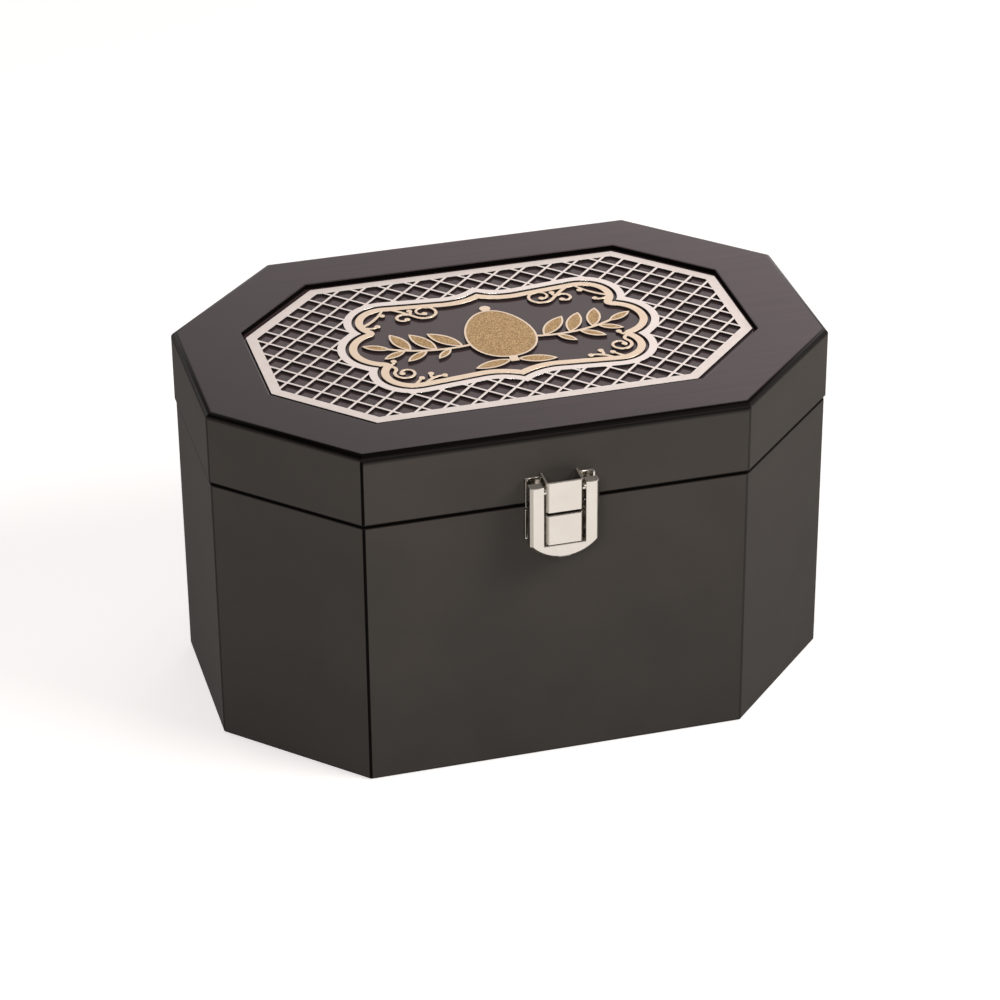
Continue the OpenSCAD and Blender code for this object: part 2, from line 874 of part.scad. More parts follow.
module hinge_pin(x) {
    color(nickel)
        at_hinge(x)
            cylinder(r = hinge_pin_r, h = hinge_len, center = true);
}

module left_hinge_case_leaf() { case_leaf(-hinge_x); }
module left_hinge_lid_leaf() { lid_leaf(-hinge_x); }
module left_hinge_pin() { hinge_pin(-hinge_x); }
module right_hinge_case_leaf() { case_leaf(hinge_x); }
module right_hinge_lid_leaf() { lid_leaf(hinge_x); }
module right_hinge_pin() { hinge_pin(hinge_x); }

module hinge_case_screws() {
    color(nickel)
        hinge_screw_places()
            translate([0, 0, case_top])
                hinge_screw();
}

module hinge_lid_screws() {
    color(nickel)
        hinge_screw_places()
            translate([0, 0, lid_foot])
                mirror([0, 0, 1])
                    hinge_screw();
}

// Latch: a plate on the lid carries the lever, whose bar passes under the plate on the case

latch_pin_r = latch_pin_d / 2;
block_w = latch_w - 2 * leg_w - 2 * block_play;
lower_block_top = lid_foot - block_gap;
lower_block_foot = seam - window_down + catch_play;
latch_screw_x = (block_w / 2 + latch_w / 2 - sheet_t) / 2;
// Play at each end of the lever's pin
pin_end_play = 0.1;

// Profiles of the pressed plates. X runs along the latch and -Y away from the box.
web = [
    [latch_w / 2, 0], [latch_w / 2, -lip_h], [latch_w / 2 - sheet_t, -lip_h],
    [latch_w / 2 - sheet_t, -sheet_t], [block_w / 2, -sheet_t]
];
// Half of the raised block's outside, and of the hollow behind it
function block_half(stand) =
    [[block_w / 2, block_bevel - stand], [block_w / 2 - block_bevel, -stand]];
function hollow_half(stand) =
    [[block_w / 2 - sheet_t, 0], [block_w / 2 - sheet_t, sheet_t - stand]];
function mirrored(half) = [for (p = reversed(half)) [-p[0], p[1]]];
// Outline that starts with the given half stretch beside the block
function plate_profile(beside, stand) =
    let (outside = concat(beside, block_half(stand)))
    let (inside = hollow_half(stand))
    concat(outside, mirrored(outside), reversed(concat(inside, mirrored(inside))));
function pressed_plate(stand) = plate_profile(web, stand);
function bare_block(stand) = plate_profile([[block_w / 2, 0]], stand);

module latch_screw_places(up, face_y) {
    for (s = [-1, 1])
        translate([s * latch_screw_x, face_y, seam + up])
            rotate([90, 0, 0])
                children();
}

module latch_axis(r, length) {
    translate([0, lid_front - latch_stand + lever_t / 2, seam + latch_pin_up])
        rotate([0, 90, 0])
            cylinder(r = r, h = length, center = true);
}

module latch_lid_plate() {
    color(nickel)
        difference() {
            translate([0, lid_front, 0]) {
                upright(pressed_plate(latch_stand), lid_foot, seam + web_up - lid_foot);
                upright(bare_block(latch_stand), seam + web_up, block_up - web_up);
            }
            latch_screw_places(latch_screw_z, lid_front)
                translate([0, 0, -past])
                    screw_hole(sheet_t + past);
            latch_axis(latch_pin_r + pin_seat, block_w + past);
        }
}

module latch_case_plate() {
    color(nickel)
        difference() {
            translate([0, lid_front - case_in, 0])
                upright(
                    pressed_plate(latch_stand - case_in),
                    lower_block_foot, lower_block_top - lower_block_foot
                );
            latch_screw_places(-latch_screw_z, lid_front - case_in)
                translate([0, 0, -past])
                    screw_hole(sheet_t + past);
        }
}

// U-shaped lever, open at the top, with a rounded lip to lift it by
lever_half = latch_w / 2;
lever_front = lid_front - latch_stand;
lever_lip = seam - lever_down;
bow = lever_down - shoulder_down;
bow_r = (lever_half * lever_half + bow * bow) / (2 * bow);
bow_centre = lever_lip + bow_r;

module lever_blank() {
    window = lever_half - leg_w;
    top = seam + lever_up;
    bar_top = seam - window_down;
    translate([0, lever_front + lever_t, 0])
        rotate([90, 0, 0])
            linear_extrude(lever_t)
                polygon([
                    [-lever_half, top], [-lever_half, lever_lip], [lever_half, lever_lip], [lever_half, top],
                    [window, top], [window, bar_top], [-window, bar_top], [-window, top]
                ]);
}

// Bar with bevelled sides that the legs are cut to
module legs_bar() {
    straight = lever_half - lever_bevel;
    translate([0, lever_front, lever_lip - past])
        linear_extrude(lever_down + lever_up + 2 * past)
            polygon([
                [-straight, 0], [straight, 0], [lever_half, lever_bevel],
                [lever_half, lever_t], [-lever_half, lever_t], [-lever_half, lever_bevel]
            ]);
}

// Disc with a bevelled rim that the lip is cut to
module lip_disc() {
    translate([0, lever_front + lever_t, bow_centre])
        rotate([90, 0, 0])
            rotate_extrude($fn = 4 * $fn)
                polygon([
                    [0, -past], [bow_r, -past], [bow_r, lever_t - lever_bevel],
                    [bow_r - lever_bevel - past, lever_t + past], [0, lever_t + past]
                ]);
}

module latch_lever() {
    color(nickel)
        difference() {
            intersection() {
                lever_blank();
                legs_bar();
            }
            difference() {
                translate([-latch_w, lever_front - past, lever_lip - past])
                    cube([2 * latch_w, lever_t + 2 * past, bow_r + past]);
                lip_disc();
            }
            latch_axis(latch_pin_r + pin_play, latch_w - 2 * pin_wall);
        }
}

module latch_pin() {
    color(nickel)
        latch_axis(latch_pin_r, latch_w - 2 * pin_wall - 2 * pin_end_play);
}

module latch_lid_screws() {
    color(nickel)
        latch_screw_places(latch_screw_z, lid_front)
            translate([0, 0, sheet_t])
                latch_screw();
}

module latch_case_screws() {
    color(nickel)
        latch_screw_places(-latch_screw_z, lid_front - case_in)
            translate([0, 0, sheet_t])
                latch_screw();
}

right_wall();
back_right_wall();
back_wall();
back_left_wall();
left_wall();
front_left_wall();
front_wall();
front_right_wall();
floor_panel();
wall_lining();
fruit_cushion();
lid_right_rail();
lid_back_right_rail();
lid_back_rail();
lid_back_left_rail();
lid_left_rail();
lid_front_left_rail();
lid_front_rail();
lid_front_right_rail();
lid_top();
lid_pad();
trellis_plate();
cartouche_frame();
sprig_frame();
sprig_inlay();
left_hinge_case_leaf();
left_hinge_lid_leaf();
left_hinge_pin();
right_hinge_case_leaf();
right_hinge_lid_leaf();
right_hinge_pin();
hinge_case_screws();
hinge_lid_screws();
latch_lid_plate();
latch_case_plate();
latch_lever();
latch_pin();
latch_lid_screws();
latch_case_screws();
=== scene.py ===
# %% [markdown]
# # An etrog box in the studio
# The object is an octagonal case of lacquered boards with a hinged lid, a pierced plate let into the lid
# and a small hasp in front. The CAD model already holds every rigid piece at its real size, so Blender
# loads it as a fixed frame and adds what CAD leaves out: finishes, softened edges, velvet and light.

# %% Load the frame
import json
import math

import bmesh
import bpy
from mathutils import Matrix, Vector, noise


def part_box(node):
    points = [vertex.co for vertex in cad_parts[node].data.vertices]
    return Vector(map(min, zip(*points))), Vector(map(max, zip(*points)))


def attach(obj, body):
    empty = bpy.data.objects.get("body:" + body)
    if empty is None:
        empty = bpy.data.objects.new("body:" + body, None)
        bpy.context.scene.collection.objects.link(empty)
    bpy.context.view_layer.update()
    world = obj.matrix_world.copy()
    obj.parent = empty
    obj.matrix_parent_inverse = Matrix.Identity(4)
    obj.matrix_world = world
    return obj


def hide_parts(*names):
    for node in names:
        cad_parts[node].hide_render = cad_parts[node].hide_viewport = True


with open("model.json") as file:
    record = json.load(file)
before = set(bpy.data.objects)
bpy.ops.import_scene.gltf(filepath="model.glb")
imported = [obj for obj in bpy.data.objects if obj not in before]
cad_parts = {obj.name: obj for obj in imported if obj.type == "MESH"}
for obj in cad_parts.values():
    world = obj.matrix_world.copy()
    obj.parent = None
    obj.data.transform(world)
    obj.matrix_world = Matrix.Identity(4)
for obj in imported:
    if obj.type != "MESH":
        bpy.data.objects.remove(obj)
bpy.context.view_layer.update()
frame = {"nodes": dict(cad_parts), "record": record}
nodes = frame["nodes"]
scene = bpy.context.scene
MM = 0.001

# %% [markdown]
# ## Helpers
# Colours are easiest to choose as sRGB hex values, the way a colour picker shows them, but shaders count
# in linear light. One function turns the first into the second. Another adds a node to any node tree:
# its settings, its plain values and its links come in one call, so a material reads from top to bottom.
# The third starts a material with nothing in it.


# %% Colours and nodes
def linear(hex_colour):
    """Linear RGBA of an sRGB value such as #5D5556."""
    parts = [int(hex_colour[i:i + 2], 16) / 255 for i in (1, 3, 5)]
    return [p / 12.92 if p <= 0.04045 else ((p + 0.055) / 1.055) ** 2.4 for p in parts] + [1.0]


def add(tree, kind, inputs=None, **settings):
    """Adds a node. An input is a plain value, or (node, output) for a link."""
    node = tree.nodes.new(kind)
    for name, value in settings.items():
        setattr(node, name, value)
    for name, value in (inputs or {}).items():
        if isinstance(value, tuple) and isinstance(value[0], bpy.types.Node):
            tree.links.new(value[0].outputs[value[1]], node.inputs[name])
        else:
            node.inputs[name].default_value = value
    return node


def blank_material(name):
    """A material with an empty node tree."""
    material = bpy.data.materials.new(name)
    material.use_nodes = True
    material.node_tree.nodes.clear()
    return material, material.node_tree


print("the middle grey #808080 is", round(linear("#808080")[0], 3), "in linear light")

# %% [markdown]
# ## Camera
# The picture was taken from a little left of the front and thirty degrees above the table. A long lens
# keeps the uprights nearly parallel. The angles and the distance come from fitting a camera to the box's
# corners, so the render can be laid over the picture.

# %% Camera
CAMERA_YAW, CAMERA_PITCH, CAMERA_ROLL = 15.1415, 30.2462, 0.4899
CAMERA_PLACE = Vector((-235.36, -868.9, 573.35)) * MM
CAMERA_LENS, SENSOR = 129.33, 36
NEAREST, FARTHEST = 0.05, 20

camera = bpy.data.objects.new("camera", bpy.data.cameras.new("camera"))
camera.data.lens = CAMERA_LENS
camera.data.sensor_width = SENSOR
camera.data.clip_start, camera.data.clip_end = NEAREST, FARTHEST
turn = Matrix.Rotation(math.radians(-CAMERA_YAW), 4, "Z")
tilt = Matrix.Rotation(math.radians(90 - CAMERA_PITCH), 4, "X")
roll = Matrix.Rotation(math.radians(-CAMERA_ROLL), 4, "Z")
camera.matrix_world = Matrix.Translation(CAMERA_PLACE) @ turn @ tilt @ roll
scene.collection.objects.link(camera)
scene.camera = camera
scene.view_settings.view_transform = "Standard"
print("camera at", [round(c, 3) for c in CAMERA_PLACE], "with a lens of", CAMERA_LENS, "mm")

# %% [markdown]
# ## Floor and light
# Dark lacquer shows its surroundings more than its own colour, so the studio matters. The floor is pale
# paper. A studio would hang a sheet that runs up behind the box. Here the floor is simply large, and glows
# a little for the eye and for reflections, so that it reads as white and still takes the box's shadow.


# %% Floor
FLOOR_GLOW = 0.52
FLOOR_HALF = 6
FLOOR_DROP = 0.05 * MM


def pale_paper():
    material, tree = blank_material("pale_paper")
    rays = add(tree, "ShaderNodeLightPath")
    seen = add(tree, "ShaderNodeMath", {
        0: (rays, "Is Camera Ray"), 1: (rays, "Is Glossy Ray")}, operation="MAXIMUM")
    seen = add(tree, "ShaderNodeMath", {0: (seen, 0), 1: (rays, "Is Transmission Ray")}, operation="MAXIMUM")
    glow = add(tree, "ShaderNodeMath", {0: (seen, 0), 1: FLOOR_GLOW}, operation="MULTIPLY")
    paper = add(tree, "ShaderNodeBsdfDiffuse", {"Color": linear("#E6E4E2")})
    light = add(tree, "ShaderNodeEmission", {"Color": linear("#FFFFFF"), "Strength": (glow, 0)})
    both = add(tree, "ShaderNodeAddShader", {0: (paper, 0), 1: (light, 0)})
    add(tree, "ShaderNodeOutputMaterial", {"Surface": (both, 0)})
    return material


corners = [(x * FLOOR_HALF, y * FLOOR_HALF, -FLOOR_DROP) for x, y in [(-1, -1), (1, -1), (1, 1), (-1, 1)]]
floor_mesh = bpy.data.meshes.new("floor")
floor_mesh.from_pydata(corners, [], [(0, 1, 2, 3)])
floor = bpy.data.objects.new("floor", floor_mesh)
floor.data.materials.append(pale_paper())
scene.collection.objects.link(floor)
print("floor of", 2 * FLOOR_HALF, "m")

# %% [markdown]
# A pale screen stands behind the box, brighter on the right, and a soft light hangs straight above it. The
# rest of the room is dark. The flat top then picks up the screen, and the rounded edges pick up the room.
# Seen from its ends, the metal would mirror only that dark room, so pale cards stand left and right. Only
# glossy rays see them, so they show in reflections and cast no light. The world is painted by direction:
# X is right, Y is behind and Z is up, each from -1 to 1.

# %% Screen, overhead light and cards
ROOM, PALE = "#4E4A49", "#FFF7F7"
SCREEN_TOP = 0.7
CARD_PALENESS = 0.7
LEVEL_LEFT, LEVEL_RIGHT = 0.58, 1.28
SOFT = {"interpolation_type": "SMOOTHSTEP"}

scene.world = bpy.data.worlds.new("studio")
scene.world.use_nodes = True
tree = scene.world.node_tree
tree.nodes.clear()
direction = add(tree, "ShaderNodeTexCoord")
way = add(tree, "ShaderNodeSeparateXYZ", {0: (direction, "Generated")})
behind = add(tree, "ShaderNodeMapRange", {"Value": (way, "Y"), "From Min": 0.1, "From Max": 0.5}, **SOFT)
low_down = add(tree, "ShaderNodeMapRange", {
    "Value": (way, "Z"), "From Min": 0.88, "From Max": SCREEN_TOP}, **SOFT)
screen = add(tree, "ShaderNodeMath", {0: (behind, 0), 1: (low_down, 0)}, operation="MULTIPLY")
overhead = add(tree, "ShaderNodeMapRange", {"Value": (way, "Z"), "From Min": 0.92, "From Max": 0.98}, **SOFT)
sideways = add(tree, "ShaderNodeMath", {0: (way, "X")}, operation="ABSOLUTE")
cards = add(tree, "ShaderNodeMapRange", {
    "Value": (sideways, 0), "From Min": 0.65, "From Max": 0.9, "To Max": CARD_PALENESS}, **SOFT)
cards = add(tree, "ShaderNodeMath", {0: (cards, 0), 1: (low_down, 0)}, operation="MULTIPLY")
rays = add(tree, "ShaderNodeLightPath")
cards = add(tree, "ShaderNodeMath", {0: (cards, 0), 1: (rays, "Is Glossy Ray")}, operation="MULTIPLY")
pale = add(tree, "ShaderNodeMath", {0: (screen, 0), 1: (overhead, 0)}, operation="MAXIMUM")
pale = add(tree, "ShaderNodeMath", {0: (pale, 0), 1: (cards, 0)}, operation="MAXIMUM")
shade = add(tree, "ShaderNodeMix", {0: (pale, 0), 6: linear(ROOM), 7: linear(PALE)}, data_type="RGBA")
level = add(tree, "ShaderNodeMapRange", {
    "Value": (way, "X"), "From Min": 0.0, "From Max": 0.45, "To Min": LEVEL_LEFT, "To Max": LEVEL_RIGHT})
light = add(tree, "ShaderNodeBackground", {"Color": (shade, 2), "Strength": (level, 0)})
add(tree, "ShaderNodeOutputWorld", {"Surface": (light, 0)})
print("screen up to", round(math.degrees(math.asin(SCREEN_TOP))), "degrees above the table")

# %% [markdown]
# Two soft lamps stand in front, left and right of the camera, so that neither is mirrored in the lid's
# front edge. Each is given by its place in metres and its power in watts.

# %% Lamps
LAMPS = {"right_lamp": ((1.15, -0.75, 1.2), 18), "left_lamp": ((-0.63, -1.35, 1.05), 14)}
LAMP_SIZE = 0.7

for name, (place, watts) in LAMPS.items():
    lamp = bpy.data.objects.new(name, bpy.data.lights.new(name, "AREA"))
    lamp.data.size = LAMP_SIZE
    lamp.data.energy = watts
    lamp.data.color = linear("#FFFBF8")[:3]
    lamp.location = place
    lamp.rotation_euler = (-Vector(place)).to_track_quat("-Z", "Y").to_euler()
    scene.collection.objects.link(lamp)
    print(name, "at", place, "of", watts, "W")

# %% [markdown]
# ## Lacquered board
# The case is taken to be fibreboard under charcoal lacquer, sprayed on and rubbed down. The sides and the
# rim under the lid are matt. The lid's top is warmer, glossier and finely streaked, as if it was rubbed
# along its length and waxed. The rounded edges and the walls of the recess are painted near-black here:
# painted shade, standing for the dark room that the edges mirror and the shade inside the recess. All boards
# share one material, so it finds these places by the direction of the surface: a flat of this box faces one
# of eight sides, straight up or straight down, and everything else is an edge.


# %% Painted shade on the edges
RIM = Vector((82, 54)) * MM
RECESS_HEIGHT = 100 * MM
BAND_LOW, BAND_HIGH = 101.0 * MM, 102.2 * MM
EDGE_SHADE_LEFT, EDGE_SHADE_RIGHT = -40 * MM, 40 * MM
END_LEFT, END_RIGHT = -80 * MM, -60 * MM


def painted_shade_over_the_top(tree, facing, up, place):
    """Painted shade: 1 where a side rolls over into the lid's top. On the long sides it runs down a little
    way.
    """
    rolls = add(tree, "ShaderNodeMapRange", {"Value": (up, 0), "From Min": 0.02, "From Max": 0.5})
    band = add(tree, "ShaderNodeMapRange", {
        "Value": (place, "Z"), "From Min": BAND_LOW, "From Max": BAND_HIGH, "To Max": 0.85})
    across = add(tree, "ShaderNodeMath", {0: (facing, "Y")}, operation="ABSOLUTE")
    long_side = add(tree, "ShaderNodeMapRange", {"Value": (across, 0), "From Min": 0.75, "From Max": 0.95})
    band = add(tree, "ShaderNodeMath", {0: (band, 0), 1: (long_side, 0)}, operation="MULTIPLY")
    rolls = add(tree, "ShaderNodeMath", {0: (rolls, 0), 1: (band, 0)}, operation="MAXIMUM")
    meets_top = add(tree, "ShaderNodeMapRange", {"Value": (up, 0), "From Min": 0.995, "From Max": 0.97})
    return add(tree, "ShaderNodeMath", {0: (rolls, 0), 1: (meets_top, 0)}, operation="MULTIPLY")


def painted_shade_on_uprights(tree, facing, up, place):
    """Painted shade: 1 on the upright edges, less towards the right and at the far left."""
    angle = add(tree, "ShaderNodeMath", {0: (facing, "Y"), 1: (facing, "X")}, operation="ARCTAN2")
    eighths = add(tree, "ShaderNodeMath", {0: (angle, 0), 1: 4 / math.pi}, operation="MULTIPLY")
    nearest = add(tree, "ShaderNodeMath", {0: (eighths, 0)}, operation="ROUND")
    off = add(tree, "ShaderNodeMath", {0: (eighths, 0), 1: (nearest, 0)}, operation="SUBTRACT")
    off = add(tree, "ShaderNodeMath", {0: (off, 0)}, operation="ABSOLUTE")
    between = add(tree, "ShaderNodeMapRange", {"Value": (off, 0), "From Min": 0.06, "From Max": 0.2})
    upright = add(tree, "ShaderNodeMath", {0: (up, 0), 1: 0.9}, operation="LESS_THAN")
    between = add(tree, "ShaderNodeMath", {0: (between, 0), 1: (upright, 0)}, operation="MULTIPLY")
    # The painted shade is weaker towards the right and at the far left.
    edge_shade_weight = add(tree, "ShaderNodeMapRange", {
        "Value": (place, "X"), "From Min": EDGE_SHADE_LEFT, "From Max": EDGE_SHADE_RIGHT, "To Min": 1.0, "To Max": 0.35})
    far_left = add(tree, "ShaderNodeMapRange", {
        "Value": (place, "X"), "From Min": END_LEFT, "From Max": END_RIGHT, "To Min": 0.5, "To Max": 1.0})
    edge_shade_weight = add(tree, "ShaderNodeMath", {0: (edge_shade_weight, 0), 1: (far_left, 0)}, operation="MINIMUM")
    return add(tree, "ShaderNodeMath", {0: (between, 0), 1: (edge_shade_weight, 0)}, operation="MULTIPLY")


def painted_edge_and_recess_shade(tree, spot, facing, place, high):
    """Painted shade: 1 on the boards' outer edges and on the recess's walls. An ellipse on the lid divides
    the two.
    """
    up = add(tree, "ShaderNodeMath", {0: (facing, "Z")}, operation="ABSOLUTE")
    over = painted_shade_over_the_top(tree, facing, up, place)
    uprights = painted_shade_on_uprights(tree, facing, up, place)
    edge = add(tree, "ShaderNodeMath", {0: (over, 0), 1: (uprights, 0)}, operation="MAXIMUM")
    reach = add(tree, "ShaderNodeVectorMath", {
        0: (spot, "Object"), 1: (1 / RIM.x, 1 / RIM.y, 0)}, operation="MULTIPLY")
    reach = add(tree, "ShaderNodeVectorMath", {0: (reach, 0)}, operation="LENGTH")
    outside = add(tree, "ShaderNodeMath", {0: (reach, "Value"), 1: 1.0}, operation="GREATER_THAN")
    steep = add(tree, "ShaderNodeMapRange", {"Value": (up, 0), "From Min": 0.6, "From Max": 0.3})
    wall = add(tree, "ShaderNodeMath", {0: (steep, 0), 1: (high, 0)}, operation="MULTIPLY")
    return add(tree, "ShaderNodeMix", {0: (outside, 0), 2: (wall, 0), 3: (edge, 0)})


print("the coat runs down the long sides from", BAND_HIGH / MM, "to", BAND_LOW / MM, "mm")

# %% [markdown]
# The sides are drawn with faint clouds a few centimetres wide, as a rubbing pad leaves them. The lid is
# drawn with strokes about 1.5 mm wide and many times as long, and the floor of the recess is glossier and
# painted paler, as painted light. The sides carry painted light and shade, paler in their upper half and
# darker low down, and the lid a painted sheen, paler towards its back right corner. Handling, wax or only
# the light may be the cause. Both are matched in the lacquer here.


# %% Matt sides and waxed top
CLOUD = 28 * MM
PAINTED_LIGHT_TOP = 90 * MM
STROKE_WIDTH, STROKE_LENGTH = 1.5 * MM, 37.5 * MM
PAINTED_SHEEN_REACH = 105 * MM
SUNK_FROM, SUNK_TO = 103.5 * MM, 102.5 * MM


def matt_sides(tree, spot, place):
    """Colour and roughness of the sides, with painted light and shade by height."""
    cloud = add(tree, "ShaderNodeTexNoise", {"Vector": (spot, "Object"), "Scale": 1 / CLOUD, "Detail": 4})
    # Painted light and shade: darker low down, paler towards the top of the sides.
    painted_light_by_height = add(tree, "ShaderNodeMapRange", {
        "Value": (place, "Z"), "From Max": PAINTED_LIGHT_TOP, "To Min": -0.25, "To Max": 0.3})
    tone = add(tree, "ShaderNodeMath", {0: (cloud, 0), 1: (painted_light_by_height, 0)}, operation="ADD", use_clamp=True)
    colour = add(tree, "ShaderNodeMix", {
        0: (tone, 0), 6: linear("#2F2C29"), 7: linear("#423E3A")}, data_type="RGBA")
    gloss = add(tree, "ShaderNodeMapRange", {"Value": (cloud, 0), "To Min": 0.9, "To Max": 1.0})
    return colour, gloss


def waxed_top(tree, spot, place):
    """Colour and roughness of the lid's top and of the recess's floor, with a painted sheen and painted
    light.
    """
    strokes = add(tree, "ShaderNodeVectorMath", {
        0: (spot, "Object"), 1: (STROKE_WIDTH / STROKE_LENGTH, 1, 1)}, operation="MULTIPLY")
    streak = add(tree, "ShaderNodeTexNoise", {"Vector": (strokes, 0), "Scale": 1 / STROKE_WIDTH, "Detail": 3})
    clear = add(tree, "ShaderNodeMix", {
        0: (streak, 0), 6: linear("#1A1112"), 7: linear("#2B1F20")}, data_type="RGBA")
    # Painted sheen: the lid's colour grows paler towards its back right corner, for light it would mirror
    # there.
    painted_sheen_colour = add(tree, "ShaderNodeMix", {
        0: (streak, 0), 6: linear("#3A2F33"), 7: linear("#57494F")}, data_type="RGBA")
    corner = add(tree, "ShaderNodeVectorMath", {0: (spot, "Object"), 1: (1, 0.7, 0)}, operation="DOT_PRODUCT")
    painted_sheen = add(tree, "ShaderNodeMapRange", {
        "Value": (corner, "Value"), "From Min": -PAINTED_SHEEN_REACH, "From Max": PAINTED_SHEEN_REACH})
    colour = add(tree, "ShaderNodeMix", {0: (painted_sheen, 0), 6: (clear, 2), 7: (painted_sheen_colour, 2)}, data_type="RGBA")
    gloss = add(tree, "ShaderNodeMapRange", {"Value": (streak, 0), "To Min": 0.26, "To Max": 0.38})
    # Painted light: the recess floor is paler, to lift the shade of the plates above it.
    painted_recess_light = add(tree, "ShaderNodeMapRange", {
        "Value": (place, "Z"), "From Min": SUNK_FROM, "From Max": SUNK_TO})
    colour = add(tree, "ShaderNodeMix", {
        0: (painted_recess_light, 0), 6: (colour, 2), 7: linear("#413335")}, data_type="RGBA")
    gloss = add(tree, "ShaderNodeMix", {0: (painted_recess_light, 0), 2: (gloss, 0), 3: 0.14})
    return colour, gloss


print("clouds of", CLOUD / MM, "mm on the sides, strokes of", STROKE_LENGTH / MM, "mm on the lid")

# %% [markdown]
# Clear lacquer has an IOR of about 1.5. The fine powder that makes it matt throws back less, and 1.42
# matches this box. On the edges and the recess walls the painted shade also switches the metallic value
# on, which takes the lacquer's own shine away and leaves only the near-black colour: a painted dark
# reflection. The spray gun leaves a faint orange peel.


# %% Rubbed lacquer
PEEL = 1.6 * MM


def rubbed_lacquer():
    material, tree = blank_material("rubbed_lacquer")
    spot = add(tree, "ShaderNodeTexCoord")
    facing = add(tree, "ShaderNodeSeparateXYZ", {0: (spot, "Normal")})
    place = add(tree, "ShaderNodeSeparateXYZ", {0: (spot, "Object")})
    side, matt = matt_sides(tree, spot, place)
    lid, waxed = waxed_top(tree, spot, place)
    top = add(tree, "ShaderNodeMapRange", {"Value": (facing, "Z"), "From Min": 0.3, "From Max": 0.7})
    high = add(tree, "ShaderNodeMath", {0: (place, "Z"), 1: RECESS_HEIGHT}, operation="GREATER_THAN")
    top = add(tree, "ShaderNodeMath", {0: (top, 0), 1: (high, 0)}, operation="MULTIPLY")
    flat = add(tree, "ShaderNodeMix", {0: (top, 0), 6: (side, 2), 7: (lid, 2)}, data_type="RGBA")
    gloss = add(tree, "ShaderNodeMix", {0: (top, 0), 2: (matt, 0), 3: (waxed, 0)})
    # Painted shade: near-black on the edges and recess walls, metallic there so the lacquer's reflection
    # drops away.
    painted_edge_shade = painted_edge_and_recess_shade(tree, spot, facing, place, high)
    colour = add(tree, "ShaderNodeMix", {0: (painted_edge_shade, 0), 6: (flat, 2), 7: linear("#181514")}, data_type="RGBA")
    peel = add(tree, "ShaderNodeTexNoise", {"Vector": (spot, "Object"), "Scale": 1 / PEEL, "Detail": 2})
    bump = add(tree, "ShaderNodeBump", {"Height": (peel, 0), "Strength": 0.12, "Distance": 0.05 * MM})
    shader = add(tree, "ShaderNodeBsdfPrincipled", {
        "Base Color": (colour, 2), "Metallic": (painted_edge_shade, 0), "Roughness": (gloss, 0), "Normal": (bump, 0),
        "IOR": 1.42})
    add(tree, "ShaderNodeOutputMaterial", {"Surface": (shader, 0)})
    return material


lacquer = rubbed_lacquer()
print("made", lacquer.name, "with", len(lacquer.node_tree.nodes), "nodes")

# %% [markdown]
# ## Laser-cut plates
# The trellis and the gold pieces are cut by laser from sheet with a metal face. The face is satin metal
# with a few faint rub marks, and the trellis bars inside the plain border are smoother, which makes them
# brighter. The beam leaves the cut walls brown to black, and that dark line under each bar is what makes the
# pattern stand out. Again the direction of the surface tells face from wall. The grain of the sheet is
# finer than a pixel, so it is drawn at 0.3 mm.


# %% Border of a plate
def octagon_reach(node):
    """Distances of a node's four pairs of sides from the middle, from +X round to the back."""
    points = nodes[node].data.vertices
    diagonal = max(v.co.x + v.co.y for v in points) / math.sqrt(2)
    return [max(v.co.x for v in points), diagonal, max(v.co.y for v in points), diagonal]


def within_border(tree, spot, node, border):
    """1 inside the border of an octagonal plate, 0 on it."""
    fold = add(tree, "ShaderNodeVectorMath", {0: (spot, "Object")}, operation="ABSOLUTE")
    inside = add(tree, "ShaderNodeValue")
    inside.outputs[0].default_value = 1.0
    for turned, reach in enumerate(octagon_reach(node)[:3]):
        way_out = (math.cos(turned * math.pi / 4), math.sin(turned * math.pi / 4), 0)
        out = add(tree, "ShaderNodeVectorMath", {0: (fold, 0), 1: way_out}, operation="DOT_PRODUCT")
        near = add(tree, "ShaderNodeMath", {0: (out, "Value"), 1: reach - border}, operation="LESS_THAN")
        inside = add(tree, "ShaderNodeMath", {0: (inside, 0), 1: (near, 0)}, operation="MULTIPLY")
    return inside


print("trellis plate, half width and half depth in mm:",
      [round(r / MM, 1) for r in octagon_reach("trellis_plate")[::2]])

# %% Silver and gold faces
WALL_TILT, WALL_ROUGHNESS = 0.35, 0.75
RUB_MARK = 2.5 * MM
SHEET_GRAIN = 0.3 * MM


